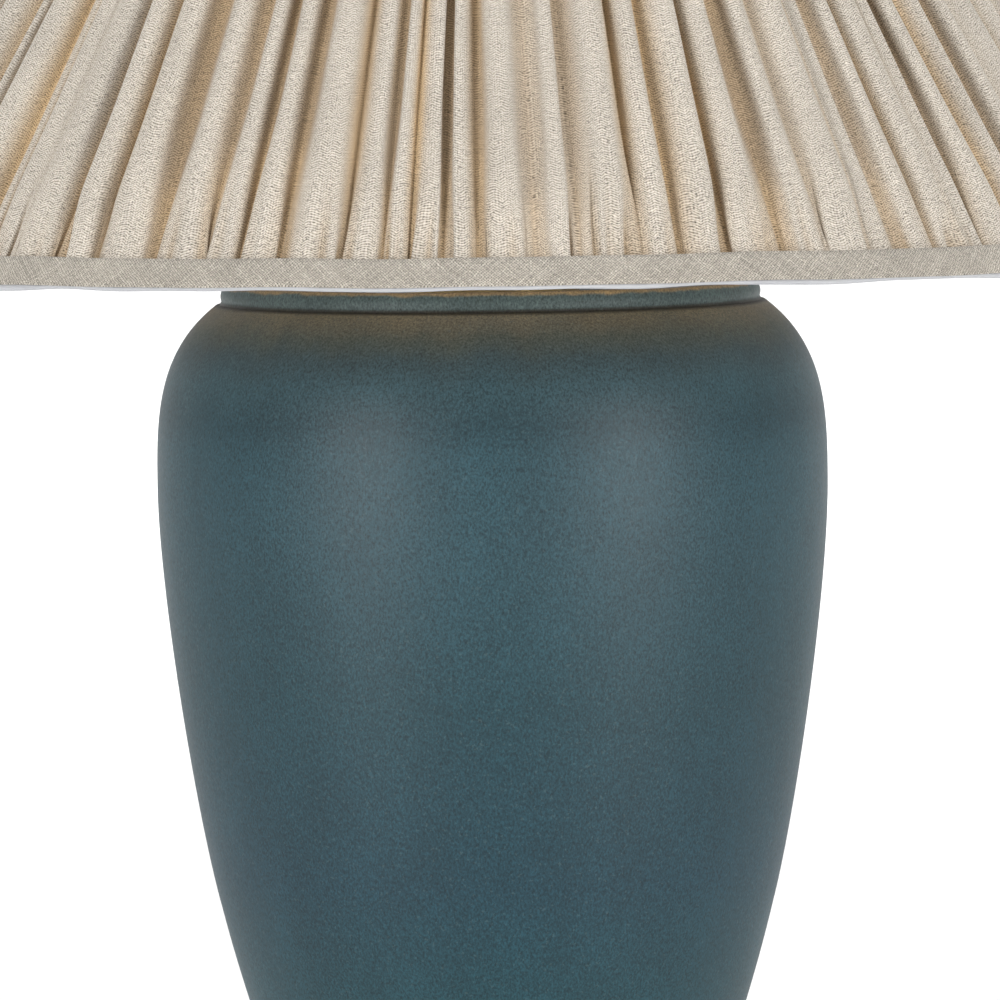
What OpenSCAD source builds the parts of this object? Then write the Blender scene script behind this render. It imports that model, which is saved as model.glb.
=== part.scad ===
// Table lamp: a glazed ceramic vase base, brass fittings, a lamp harp
// and a tapered fabric shade that sits on the harp under a finial.
// Millimetres, +Z up. The origin is on the table, on the lamp's axis.

/* [Ceramic base] */
// Height of the top of the collar above the table
body_h = 346; // [340:1:352]
// Radius of the belly, the widest place
belly_r = 116.5; // [112:0.5:122]
// Radius of the raised collar round the top
collar_r = 93; // [90:0.5:94]
// Height of the collar above the shoulder
collar_h = 6.5; // [5:0.5:8]
// Radius of the foot
foot_r = 73; // [71:0.5:76]
// Thickness of the ceramic wall
wall = 5; // [4:0.5:6]
// Thickness of the felt under the foot
felt_t = 2; // [1:0.5:3]
// Height of the cord hole's centre above the table
cord_z = 28; // [24:1:29]
// Radius of the cord's way through the grommet
cord_r = 3.5; // [3:0.1:4]

/* [Fittings] */
// Outer radius of the threaded lamp pipe
pipe_r = 5; // [4.8:0.1:5.2]
// Radius of the spun brass cap on the ceramic
cap_r = 31; // [26:1:36]
// Height of the turned brass neck
neck_h = 12; // [10:1:16]
// Outer radius of the lamp socket's shell
shell_r = 16.6; // [16:0.1:17]
// Length of the socket's shell
shell_h = 40; // [38:1:42]

/* [Bulb] */
// Radius of the glass at its widest
bulb_r = 30; // [27:0.5:32]
// Pitch of the screw thread of the bulb and the socket
thread_pitch = 3.6; // [3.6:0.01:3.65]

/* [Harp] */
// Radius of the harp's wire
wire_r = 2.2; // [2:0.1:2.4]
// Distance of each foot of the harp from the axis
harp_x = 28; // [26:0.5:30]
// Height of the harp from the saddle to its top plate
harp_h = 214; // [205:1:225]

/* [Shade] */
// Radius of the shade at its bottom edge
shade_r = 250; // [240:1:260]
// Radius of the shade at its top edge
shade_top_r = 96; // [90:1:104]
// Height of the shade's lower edge above the table
shade_z = 352.5; // [350:0.5:356]
// Height of the shade from edge to edge
shade_h = 236; // [226:1:240]
// Number of upright wires in the shade's frame
strut_count = 8; // [6:1:12]
// Width of the fabric tape round each edge
tape_w = 10; // [8:1:14]

/* [Finial] */
// Height of the finial above the shade's centre plate
finial_h = 31; // [26:1:36]

/* [Hidden] */
$fn = 96;
fit = 0.05;       // gap between pieces that touch all round
slip = 0.06;      // gap round a shaft that turns
fine = 48;        // facets used where a shape is rebuilt as an exact round
steps = 14;       // segments along each stretch of a drawn curve

ceramic = [0.27, 0.37, 0.40];
felt = [0.22, 0.25, 0.24];
brass = [0.72, 0.57, 0.33];
steel = [0.70, 0.70, 0.70];
rubber = [0.10, 0.10, 0.10];
linen = [0.78, 0.74, 0.66];
lining = [0.95, 0.95, 0.95];

// Heights of the stack of fittings, from the table up
recess_z = 10;                    // underside of the ceramic's floor
floor_z = 16;                     // top of the ceramic's floor
deck_z = body_h - 3;              // top of the ceramic's deck, inside the collar
deck_t = 6;
collar_z = body_h - collar_h;
cap_h = 7;
neck_z = deck_z + cap_h;
nut_z = neck_z + neck_h;
nut_h = 3;
saddle_z = nut_z + nut_h;
saddle_t = 2;
socket_z = saddle_z + saddle_t;   // underside of the socket's cap
shell_z = socket_z + 16;          // lower edge of the socket's shell
shell_top = shell_z + shell_h;
knob_z = shell_z + 11;            // axis of the switch
contact_z = shell_z + 20.5;       // top of the socket's centre contact
harp_top = saddle_z + harp_h;     // underside of the harp's top plate
plate_t = 2;
washer_t = 1;
spider_t = 1.6;
spider_z = harp_top + plate_t + washer_t;
finial_z = spider_z + spider_t;

// The shade's frame lies inside the fabric
ring_wire = 1.75;
ring_z = shade_z + 3;
ring_r = shade_r - 7.5;
top_ring_z = shade_z + shade_h - 2.5;
top_ring_r = shade_top_r - 10;
strut_r = 1.25;
slope = atan((ring_r - top_ring_r) / (top_ring_z - ring_z));
cloth_in = ring_wire / cos(slope) + 0.2;    // level gap from the frame out to the fabric
lining_in = cloth_in;                       // and in to the lining
lining_t = 0.7;
tape_t = 0.9;

// ---------- helpers ----------

// Point at t on a cubic curve with four control points
function curve_at(p, t) = pow(1 - t, 3) * p[0] + 3 * pow(1 - t, 2) * t * p[1]
    + 3 * (1 - t) * t * t * p[2] + t * t * t * p[3];

// Points along a cubic curve, from its first point to just before its last
function curve(p, n = steps) = [for (i = [0 : n - 1]) curve_at(p, i / n)];

// Points on an arc round centre c
function arc(c, r, a0, a1, n = 6) = [for (i = [0 : n])
    c + r * [cos(a0 + (a1 - a0) * i / n), sin(a0 + (a1 - a0) * i / n)]];

function reversed(list) = [for (i = [len(list) - 1 : -1 : 0]) list[i]];

// An outline of [radius, height] points, turned round the Z axis
module lathe(points) rotate_extrude() polygon(points);

// A round tube or washer
module tube(r, bore, h, z = 0) translate([0, 0, z]) difference() {
    cylinder(r = r, h = h);
    translate([0, 0, -1]) cylinder(r = bore, h = h + 2);
}

// A six-sided nut, measured across its flats
module hex_nut(flats, bore, h, z) translate([0, 0, z]) difference() {
    cylinder(r = flats / 2 / cos(30), h = h, $fn = 6);
    translate([0, 0, -1]) cylinder(r = bore, h = h + 2);
}

// A straight round bar between two points
module bar(a, b, r) {
    d = b - a;
    length = norm(d);
    translate(a) rotate([0, acos(d[2] / length), atan2(d[1], d[0])])
        cylinder(r = r, h = length, $fn = fine);
}

// ---------- ceramic base ----------

shoulder = [[95.7, collar_z], [belly_r + 0.4, body_h - 23], [belly_r, body_h - 47],
    [belly_r, body_h - 69]];
upper_flank = [[belly_r, body_h - 69], [belly_r, 239], [104, 159], [96.3, 130]];
lower_flank = [[96.3, 130], [82, 76], [69, 51], [69, 30]];
waist = [[69, 30], [69, 22], [69.3, 17], [70, felt_t + 9.5]];

// The outer curve from the collar down to the foot
flank = concat(curve(shoulder), curve(upper_flank), curve(lower_flank), curve(waist, 5));

collar_line = concat(
    arc([collar_r - 5.2, deck_z + 1.5], 1.5, 270, 360, 3),
    arc([collar_r - 2.1, body_h - 1.6], 1.6, 180, 0, 8),
    [[collar_r, collar_z]]);

foot_line = concat(
    [[70, felt_t + 9.5], [foot_r - 1.5, felt_t + 9.5]],
    arc([foot_r - 1.5, felt_t + 8], 1.5, 90, 0, 4),
    arc([foot_r - 2.5, felt_t + 2.5], 2.5, 0, -90, 5),
    arc([foot_r - 11, felt_t + 2], 2, 270, 180, 4),
    [[foot_r - 13, recess_z]]);

// The inner face follows the outer one at the wall's thickness
cavity = [for (p = flank) if (p[1] < deck_z - deck_t - 3 && p[1] > floor_z + 3)
    [p[0] - wall, p[1]]];

module ceramic_body() color(ceramic) difference() {
    lathe(concat(
        [[7, deck_z - deck_t], [7, deck_z]], collar_line, flank, foot_line,
        [[7, recess_z], [7, floor_z], [cavity[len(cavity) - 1][0] - 3, floor_z]],
        reversed(cavity), [[cavity[0][0] - 3, deck_z - deck_t]]));
    translate([0, 40, cord_z]) rotate([-90, 0, 0]) cylinder(r = 6, h = 60);
}

module felt_pad() color(felt) cylinder(r = foot_r - 2.5, h = felt_t);

// A flanged bush that lines the cord's hole, at the back
module cord_grommet() color(rubber) translate([0, 0, cord_z]) rotate([-90, 0, 0])
    lathe(concat(
        [[cord_r, 62.4], [6.9, 62.4], [6.9, 63.3], [6 - fit, 63.9]],
        [[6 - fit, 69.5], [8.2, 69.5]],
        arc([6.4, 70], 1.8, 0, 90, 5),
        arc([cord_r + 0.4, 71.4], 0.4, 90, 180, 3)));

// ---------- clamp under the floor ----------

module clamp_plate() color(steel) tube(28, pipe_r + fit, 2, recess_z - 2);

module lock_washer() color(steel) tube(9, pipe_r + fit, 1.2, recess_z - 3.2);

module pipe_nut() color(brass) hex_nut(14, pipe_r + fit, 3.6, recess_z - 6.8);

module lamp_pipe() color(steel) tube(pipe_r, cord_r, socket_z + 7 - (felt_t + 0.8),
    felt_t + 0.8);

// ---------- stack on the deck ----------

// Keeps the pipe in the middle of the ceramic's hole
module deck_bush() color(rubber) lathe([[pipe_r + fit, deck_z - 5], [7 - fit, deck_z - 5],
    [7 - fit, deck_z], [12, deck_z], [12, deck_z + 1.5], [pipe_r + fit, deck_z + 1.5]]);

// A thin spun dome with a rolled rim
module vase_cap() color(brass) lathe(concat(
    [[cap_r - 1.2, deck_z]], [[cap_r, deck_z]], [[cap_r, deck_z + 1.4]],
    arc([cap_r - 1.2, deck_z + 1.4], 1.2, 0, 90, 3),
    curve([[cap_r - 3, deck_z + 3.1], [cap_r - 7, deck_z + 6.6], [20, neck_z],
        [14, neck_z]], 8),
    [[14, neck_z], [pipe_r + fit, neck_z], [pipe_r + fit, neck_z - 1.2], [14, neck_z - 1.2]],
    reversed(curve([[cap_r - 3.4, deck_z + 1.9], [cap_r - 7.6, deck_z + 5.3],
        [20, neck_z - 1.2], [14, neck_z - 1.2]], 8)),
    [[cap_r - 1.2, deck_z + 1.6]]));

// A turned baluster with a bead at its foot and its head
module neck_spacer() color(brass) lathe(concat(
    [[pipe_r + fit, neck_z], [11, neck_z]],
    arc([11, neck_z + 1.6], 1.6, -90, 90, 6),
    curve([[10, neck_z + 3.2], [7.6, neck_z + 4.4], [7.6, nut_z - 4.4], [8.2, nut_z - 3]], 8),
    arc([8.2, nut_z - 1.5], 1.5, -90, 90, 6),
    [[pipe_r + fit, nut_z]]));

module stack_nut() color(brass) hex_nut(14, pipe_r + fit, nut_h, nut_z);

// ---------- harp ----------

ferrule_z = saddle_z + 8;         // lower edge of each sliding ferrule
joint_z = saddle_z + 16;          // where the harp's foot meets the saddle's arm
bow_z = joint_z + 24;             // where the harp's leg starts to curve

// One upturned arm of the saddle: a strip, a quarter bend and a round end
module saddle_arm() {
    bend = 5;
    rotate([90, 0, 0]) {
        translate([7.5, saddle_z, -6])
            cube([harp_x - bend - 7.5, saddle_t, 12]);
        translate([harp_x - bend, saddle_z + bend + 1, 0]) rotate([0, 0, -90])
            difference() {
                translate([0, 0, -6]) cylinder(r = bend + 1, h = 12);
                translate([0, 0, -7]) cylinder(r = bend - 1, h = 14);
                translate([-10, -10, -7]) cube([10, 20, 14]);
                translate([-1, -10, -7]) cube([20, 10, 14]);
            }
    }
    translate([harp_x, 0, saddle_z + bend + 0.6])
        cylinder(r = wire_r, h = joint_z - saddle_z - bend - 0.6, $fn = fine);
}

module harp_saddle() color(brass) difference() {
    union() {
        translate([0, 0, saddle_z]) cylinder(r = 11, h = saddle_t);
        for (side = [0, 180]) rotate([0, 0, side]) saddle_arm();
    }
    translate([0, 0, saddle_z - 1]) cylinder(r = pipe_r + fit, h = saddle_t + 2);
}

// Each side of the bow is three arcs that run into each other: it flares out,
// bends back in, and closes over the top. Two radii follow from the height.
flare_a = 32;                     // how far the leg leans out
lean_a = 35;                      // how far it leans in again
flare_r = 30;
bow_x = harp_x + flare_r * (1 - cos(flare_a));
bow_rise = harp_top - wire_r - bow_z - flare_r * sin(flare_a);
spread = cos(lean_a) - cos(flare_a);
// bow_x + side_r * spread = crown_r * cos(lean_a)
// side_r * (sin(flare_a) + sin(lean_a)) + crown_r * (1 - sin(lean_a)) = bow_rise
side_r = (bow_rise - bow_x * (1 - sin(lean_a)) / cos(lean_a))
    / (sin(flare_a) + sin(lean_a) + spread * (1 - sin(lean_a)) / cos(lean_a));
crown_r = (bow_x + side_r * spread) / cos(lean_a);

// A bent piece of wire: part of a ring of radius r in the XZ plane, round c
module bend(c, r, from, to) translate([c[0], 0, c[1]]) rotate([90, 0, 0])
    rotate([0, 0, from]) rotate_extrude(angle = to - from) translate([r, 0])
        circle(r = wire_r, $fn = fine);

// A ball a hair thicker than the wire runs each bend into the next
module knuckle(x, z) translate([x, 0, z]) sphere(r = wire_r + 0.06, $fn = fine);

module harp_leg() {
    flare_c = [harp_x + flare_r, bow_z];
    side_c = [bow_x - side_r * cos(flare_a),
        bow_z + flare_r * sin(flare_a) + side_r * sin(flare_a)];
    translate([harp_x, 0, joint_z]) cylinder(r = wire_r, h = bow_z - joint_z, $fn = fine);
    knuckle(harp_x, bow_z);
    bend(flare_c, flare_r, 180 - flare_a, 180);
    knuckle(bow_x, bow_z + flare_r * sin(flare_a));
    bend(side_c, side_r, -flare_a, lean_a);
    knuckle(crown_r * cos(lean_a), harp_top - wire_r - crown_r * (1 - sin(lean_a)));
}

module harp_bow() color(brass) {
    harp_leg();
    mirror([1, 0, 0]) harp_leg();
    bend([0, harp_top - wire_r - crown_r], crown_r, lean_a, 180 - lean_a);
}

// The plate that the shade rests on, and the thread that the finial grips
stud_r = 3.1;
stud_h = 17;
module harp_stud() color(brass) difference() {
    lathe(concat(
        [[0, harp_top - 3], [4.5, harp_top - 3], [6, harp_top]],
        arc([8.2, harp_top + 0.8], 0.8, -90, 0, 3),
        [[9, harp_top + plate_t], [stud_r, harp_top + plate_t],
            [stud_r, harp_top + plate_t + stud_h - 0.8],
            [stud_r - 0.8, harp_top + plate_t + stud_h],
            [0, harp_top + plate_t + stud_h]]));
    bend([0, harp_top - wire_r - crown_r], crown_r, 60, 120);
}

module ferrule() tube(4.2, wire_r + 0.15, 16, ferrule_z);

module harp_ferrule_left() color(brass) translate([-harp_x, 0, 0]) ferrule();

module harp_ferrule_right() color(brass) translate([harp_x, 0, 0]) ferrule();

// ---------- lamp socket ----------

shell_t = 0.6;
liner_r = shell_r - shell_t - fit;
liner_t = 0.7;
inside_r = liner_r - liner_t - fit;
core_top = contact_z - 1.8;
hub_r = 8;

// A spun bell that screws on the pipe and holds the shell's lower edge
module socket_cap() color(brass) difference() {
    lathe(concat(
        [[pipe_r + fit, socket_z], [hub_r, socket_z], [hub_r, socket_z + 5]],
        curve([[hub_r, socket_z + 5], [shell_r - 4, socket_z + 6], [shell_r + 0.9, socket_z + 9],
            [shell_r + 0.9, shell_z + 1]], 10),
        [[shell_r + 0.9, shell_z + 1], [shell_r + 0.9, shell_z + 4], [shell_r + fit, shell_z + 4],
            [shell_r + fit, shell_z + 1]],
        reversed(curve([[hub_r - 0.6, socket_z + 5.9], [shell_r - 4.4, socket_z + 7],
            [shell_r + fit, socket_z + 10], [shell_r + fit, shell_z + 1]], 10)),
        [[pipe_r + fit, socket_z + 5.9]]));
    translate([0, 0, socket_z + 2.5]) rotate([0, 90, 0]) cylinder(r = 1.5, h = 12, $fn = fine);
}

// Locks the cap on the pipe
module cap_set_screw() color(steel) translate([0, 0, socket_z + 2.5]) rotate([0, 90, 0])
    difference() {
        lathe([[0, pipe_r + fit], [1.5 - fit, pipe_r + fit], [1.5 - fit, hub_r + 0.3],
            [2.4, hub_r + 0.3], [2.1, hub_r + 1.9], [0, hub_r + 2.2]]);
        translate([-0.35, -4, hub_r + 1.3]) cube([0.7, 8, 2]);
    }

// The shaft's hole through the shell, its liner and the mechanism
shaft_r = 1.6;
module shaft_hole(from, to) translate([0, -from, knob_z]) rotate([90, 0, 0])
    cylinder(r = shaft_r + slip, h = to - from, $fn = fine);

module socket_shell() color(brass) difference() {
    lathe(concat(
        [[shell_r - shell_t, shell_z], [shell_r, shell_z], [shell_r, shell_top - 1]],
        arc([shell_r - 1, shell_top - 1], 1, 0, 90, 4),
        [[shell_r - 2.2, shell_top], [shell_r - 2.2, shell_top - shell_t],
            [shell_r - shell_t, shell_top - shell_t - 0.4]]));
    shaft_hole(12, 20);
}

module socket_liner() color([0.75, 0.62, 0.42]) difference() {
    tube(liner_r, liner_r - liner_t, shell_h - 2, shell_z + 0.5);
    shaft_hole(12, 20);
}

// The moulded mechanism: a drum with two flats for the terminals and a well
// for the switch's rotor
module socket_interior() color([0.16, 0.12, 0.10]) difference() {
    translate([0, 0, shell_z + 1]) cylinder(r = inside_r, h = core_top - shell_z - 1);
    for (side = [-1, 1]) translate([side * 17 - 5, -8, shell_z]) cube([10, 16, 8]);
    shaft_hole(0, 20);
    translate([0, -3, knob_z]) rotate([90, 0, 0]) cylinder(r = 4 + slip, h = 5 + slip, $fn = fine);
}

module terminal_screws() color(brass) for (side = [-1, 1])
    translate([side * 12, 0, shell_z + 4.5]) rotate([0, side * 90, 0]) difference() {
        union() {
            cylinder(r = 2.9, h = 1.6, $fn = fine);
            translate([0, 0, 1.6]) cylinder(r1 = 2.9, r2 = 2, h = 0.6, $fn = fine);
        }
        translate([-0.4, -4, 1.2]) cube([0.8, 8, 2]);
    }

// Radius of the bulb's rolled thread at height z
thread_mean = 12.6;
thread_depth = 0.45;
function thread_at(z) = thread_mean + thread_depth * cos(360 * (z - contact_z) / thread_pitch);
function thread_line(z0, z1, out, n = 10) = [for (i = [0 : round((z1 - z0) / thread_pitch * n)])
    let (z = z0 + i * thread_pitch / n) [thread_at(z) + out, z]];

shell_gap = 0.35;
threads = 4;
thread_z = contact_z + 3.6;

// The thin threaded sleeve that takes the bulb
module screw_shell() color(brass) lathe(concat(
    thread_line(thread_z - thread_pitch / 2, thread_z + threads * thread_pitch, shell_gap + 0.4),
    reversed(thread_line(thread_z - thread_pitch / 2, thread_z + threads * thread_pitch,
        shell_gap)),
    [[8, thread_z - thread_pitch / 2], [8, core_top], [inside_r - 2, core_top],
        [inside_r - 2, core_top + 0.5], [8.5, core_top + 0.5], [8.5, thread_z - 2.3]]));

// A sprung tongue on a rivet, under the tip of the bulb
module centre_contact() color(brass) {
    translate([0, 0, core_top]) cylinder(r = 2.4, h = 1.1, $fn = fine);
    translate([-1.8, -5.2, core_top + 1.1]) cube([3.6, 10.4, 0.5]);
}

// ---------- switch ----------

module switch_shaft() color(brass) translate([0, 0, knob_z]) rotate([90, 0, 0]) {
    translate([0, 0, 3 + slip]) cylinder(r = 4, h = 4.8, $fn = fine);
    translate([0, 0, 7]) cylinder(r = shaft_r, h = 21, $fn = fine);
}

// A fluted turn knob with a domed end
knob_from = 22;
knob_len = 15;
module switch_knob() color([0.12, 0.10, 0.09]) translate([0, 0, knob_z]) rotate([90, 0, 0])
    difference() {
        lathe(concat(
            [[shaft_r + 0.01, knob_from], [3.2, knob_from], [3.6, knob_from + 2],
                [4.6, knob_from + 3.5], [4.6, knob_from + knob_len - 1.6]],
            arc([3, knob_from + knob_len - 1.6], 1.6, 0, 90, 4),
            [[0, knob_from + knob_len + 0.2], [0, 28 + slip], [shaft_r + 0.01, 28 + slip]]));
        for (i = [0 : 9]) rotate([0, 0, i * 36]) translate([5, 0, knob_from + 4.5])
            cylinder(r = 0.75, h = knob_len, $fn = 16);
    }

// ---------- bulb ----------

bulb_z = thread_z + threads * thread_pitch + 1.2;  // upper edge of the threaded cap
glass_z = bulb_z + 57;                              // centre of the bulb's round end

module bulb_contact() color(steel) translate([0, 0, contact_z])
    lathe(concat([[0, 0]], arc([2.6, 1.2], 1.2, -90, 0, 4), [[3.8, 1.9], [0, 1.9]]));

module bulb_insulator() color([0.08, 0.09, 0.13]) lathe([[0, contact_z + 1.9],
    [3.8, contact_z + 1.9], [5.2, contact_z + 2.1], [11.4 - fit, thread_z - 0.4],
    [11.4 - fit, thread_z + 1.4], [0, thread_z + 1.4]]);

module bulb_cap() color(steel) lathe(concat(
    [[11.4, thread_z - 0.4]],
    thread_line(thread_z, bulb_z - 1.2, 0),
    [[thread_mean + 0.1, bulb_z - 0.4], [13.4, bulb_z + 0.6], [13.4, bulb_z + 3.4],
        [12.9, bulb_z + 3.4], [12.9, bulb_z + 0.9], [11.4, bulb_z - 0.8]]));

glass_neck = [[12.6, bulb_z + 0.95], [12.6, bulb_z + 16], [bulb_r, glass_z - 36],
    [bulb_r, glass_z]];
glass_bore = [[11.7, bulb_z + 0.95], [11.7, bulb_z + 16], [bulb_r - 0.8, glass_z - 36],
    [bulb_r - 0.8, glass_z]];
module bulb_glass() color([0.9, 0.93, 0.95, 0.35]) lathe(concat(
    curve(glass_neck, 16), arc([0, glass_z], bulb_r, 0, 90, 20),
    reversed(arc([0, glass_z], bulb_r - 0.8, 0, 90, 20)), reversed(curve(glass_bore, 16))));

// The flared glass foot that carries the filaments
module bulb_stem() color([0.9, 0.93, 0.95, 0.35]) lathe(concat(
    [[0, bulb_z + 1.2], [11.2, bulb_z + 1.2], [11.2, bulb_z + 2.4]],
    curve([[11.2, bulb_z + 2.4], [7, bulb_z + 5], [3, bulb_z + 8], [2.6, bulb_z + 16]], 8),
    [[2.6, bulb_z + 16], [2.6, bulb_z + 28], [1.6, bulb_z + 30], [0, bulb_z + 30]]));

filament_count = 4;
module led_filaments() color([0.95, 0.80, 0.35]) for (i = [0 : filament_count - 1])
    rotate([0, 0, 45 + i * 360 / filament_count]) {
        bar([5, 0, bulb_z + 28], [12, 0, bulb_z + 62], 0.9);
        bar([2.7, 0, bulb_z + 25], [4.98, 0, bulb_z + 27.6], 0.3);
    }

// ---------- shade ----------

// Radius of the frame's sloping line at height z
function frame_r(z) = ring_r + (top_ring_r - ring_r) * (z - ring_z) / (top_ring_z - ring_z);
// Radius of the fabric's outer face at height z
function cloth_r(z) = shade_r + (shade_top_r - shade_r) * (z - shade_z) / shade_h;

module seat_washer() color(rubber)
    tube(9, stud_r + 0.3, washer_t, harp_top + plate_t);

module spider_plate() color(brass) tube(12, stud_r + 0.3, spider_t, spider_z);

// Three wires from the plate out to the lower side of the shade's top ring
arm_r = 1.6;
arm_z = top_ring_z - 1.2;
module spider_arms() color(brass) for (i = [0 : 2]) rotate([0, 0, 90 + i * 120]) difference() {
    bar([10, 0, spider_z + spider_t / 2], [top_ring_r, 0, arm_z], arm_r);
    translate([0, 0, spider_z - 1]) cylinder(r = 12, h = 4);
    ring(top_ring_r, top_ring_z);
}

module ring(r, z) translate([0, 0, z]) rotate_extrude() translate([r, 0])
    circle(r = ring_wire, $fn = fine);

module top_ring() color(lining) ring(top_ring_r, top_ring_z);

module bottom_ring() color(lining) ring(ring_r, ring_z);

module shade_struts() color(lining) difference() {
    for (i = [0 : strut_count - 1]) rotate([0, 0, (i + 0.5) * 360 / strut_count])
        bar([ring_r, 0, ring_z], [top_ring_r, 0, top_ring_z], strut_r);
    ring(ring_r, ring_z);
    ring(top_ring_r, top_ring_z);
}

// The smooth inner cloth, with a hem rolled under the bottom ring and out to the
// tape. It stops below the spider's arms.
lining_top = arm_z - arm_r - 0.2;
hem_z = ring_z - lining_in;
hem_r = ring_r + 5.8;
module shade_lining() color(lining) lathe([
    [frame_r(lining_top) - lining_in, lining_top],
    [ring_r - lining_in, ring_z],
    [ring_r - lining_in + 0.2, hem_z],
    [hem_r - 1.2, hem_z],
    [hem_r - 1.2, tape_z - 0.1],
    [hem_r, tape_z - 0.1],
    [hem_r, shade_z + 0.4],
    [hem_r - 0.5, shade_z],
    [ring_r - lining_in, shade_z],
    [ring_r - lining_in - lining_t, shade_z + 0.7],
    [ring_r - lining_in - lining_t, ring_z],
    [frame_r(lining_top) - lining_in - lining_t, lining_top]]);

tape_z = shade_z + 1.8;           // lower edge of the bottom tape
tape_run = tape_w * cos(atan((shade_r - shade_top_r) / shade_h));
cover_z = hem_z + 1.2;
cover_top = shade_z + shade_h - 1;

// The gathered fabric, as the plain sloping shell that its folds fill
module shade_cover() color(linen) lathe([
    [frame_r(cover_z) + cloth_in, cover_z],
    [cloth_r(cover_z) - tape_t - 0.7, cover_z],
    [cloth_r(tape_z + tape_run) - tape_t - 0.7, tape_z + tape_run],
    [cloth_r(tape_z + tape_run + 4), tape_z + tape_run + 4],
    [cloth_r(cover_top - tape_run - 4), cover_top - tape_run - 4],
    [cloth_r(cover_top - tape_run) - tape_t - 0.7, cover_top - tape_run],
    [cloth_r(cover_top) - tape_t - 0.7, cover_top],
    [frame_r(top_ring_z) + cloth_in, cover_top],
    [frame_r(top_ring_z) + cloth_in, top_ring_z]]);

module bottom_binding() color(linen) lathe([
    [cloth_r(tape_z) - tape_t - 0.6, tape_z],
    [cloth_r(tape_z) - 0.5, tape_z],
    [cloth_r(tape_z) - 0.1, tape_z + 0.6],
    [cloth_r(tape_z + tape_run) - 0.1, tape_z + tape_run - 0.6],
    [cloth_r(tape_z + tape_run) - 0.6, tape_z + tape_run],
    [cloth_r(tape_z + tape_run) - tape_t - 0.6, tape_z + tape_run]]);

// A tape down the outside that folds over the top ring and a little inside
module top_binding() color(linen) lathe([
    [cloth_r(cover_top - tape_run) - tape_t - 0.6, cover_top - tape_run],
    [cloth_r(cover_top - tape_run) - 0.2, cover_top - tape_run],
    [cloth_r(cover_top) - 0.2, cover_top],
    [cloth_r(cover_top) - 1.4, cover_top + 1.2],
    [top_ring_r - 2, cover_top + 1.2],
    [top_ring_r - 3.4, cover_top],
    [top_ring_r - 3.4, arm_z + arm_r + 0.1],
    [top_ring_r - 2.5, arm_z + arm_r + 0.1],
    [top_ring_r - 2.5, cover_top - 0.1],
    [top_ring_r - 1.8, cover_top + 0.4],
    [cloth_r(cover_top) - 1.6, cover_top + 0.4],
    [cloth_r(cover_top) - tape_t - 0.6, cover_top]]);

// ---------- finial ----------

// A turned knob: a flange, a cove, a ball and a small button on top
ball_r = 8.5;
module finial() color(brass) lathe(concat(
    [[stud_r + slip, finial_z], [7.4, finial_z]],
    arc([7.4, finial_z + 1.2], 1.2, -90, 90, 6),
    curve([[6, finial_z + 2.4], [4.4, finial_z + 4], [4.4, finial_z + 7], [5, finial_z + 9.4]], 6),
    arc([0, finial_z + 16.3], ball_r, -54, 68, 18),
    arc([0, finial_z + finial_h - 3.6], 3.6, -25, 90, 10),
    [[0, harp_top + plate_t + stud_h + 0.4], [stud_r + slip, harp_top + plate_t + stud_h + 0.4]]));

ceramic_body();
felt_pad();
cord_grommet();
clamp_plate();
lock_washer();
pipe_nut();
lamp_pipe();
deck_bush();
vase_cap();
neck_spacer();
stack_nut();
harp_saddle();
socket_cap();
cap_set_screw();
socket_shell();
socket_liner();
socket_interior();
terminal_screws();
screw_shell();
centre_contact();
switch_shaft();
switch_knob();
bulb_contact();
bulb_insulator();
bulb_cap();
bulb_glass();
bulb_stem();
led_filaments();
harp_bow();
harp_stud();
harp_ferrule_left();
harp_ferrule_right();
seat_washer();
spider_plate();
spider_arms();
top_ring();
bottom_ring();
shade_struts();
shade_lining();
shade_cover();
bottom_binding();
top_binding();
finial();
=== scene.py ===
"""Table lamp with a gathered linen shade: the looks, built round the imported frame.

Lengths are in metres. The lamp's axis is +Z and its front, which the camera sees, is -Y.
"""
import math

import bpy
import numpy as np
from mathutils import Matrix, Vector


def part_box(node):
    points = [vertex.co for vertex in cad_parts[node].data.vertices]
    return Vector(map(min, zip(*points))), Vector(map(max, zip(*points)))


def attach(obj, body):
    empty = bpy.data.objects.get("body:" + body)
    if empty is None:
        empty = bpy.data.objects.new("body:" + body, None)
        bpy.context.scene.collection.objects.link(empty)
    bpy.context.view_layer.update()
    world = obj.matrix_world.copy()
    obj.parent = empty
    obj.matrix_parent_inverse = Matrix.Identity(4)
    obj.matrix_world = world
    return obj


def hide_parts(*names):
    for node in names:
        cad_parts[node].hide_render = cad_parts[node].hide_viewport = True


MM = 0.001
SEED = 41
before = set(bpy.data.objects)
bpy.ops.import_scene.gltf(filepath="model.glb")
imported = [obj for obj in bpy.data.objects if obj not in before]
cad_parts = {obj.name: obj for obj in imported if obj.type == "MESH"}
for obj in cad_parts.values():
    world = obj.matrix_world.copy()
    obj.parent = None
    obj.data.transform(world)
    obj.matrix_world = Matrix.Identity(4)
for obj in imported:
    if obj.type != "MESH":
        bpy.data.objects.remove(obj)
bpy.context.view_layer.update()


# ---------- sizes, read from the frame ----------

def heights(node):
    """Lowest and highest point of a CAD node."""
    low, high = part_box(node)
    return low.z, high.z


def radius(node):
    """Largest radius of a CAD node that is round about the lamp's axis."""
    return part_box(node)[1].x


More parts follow.
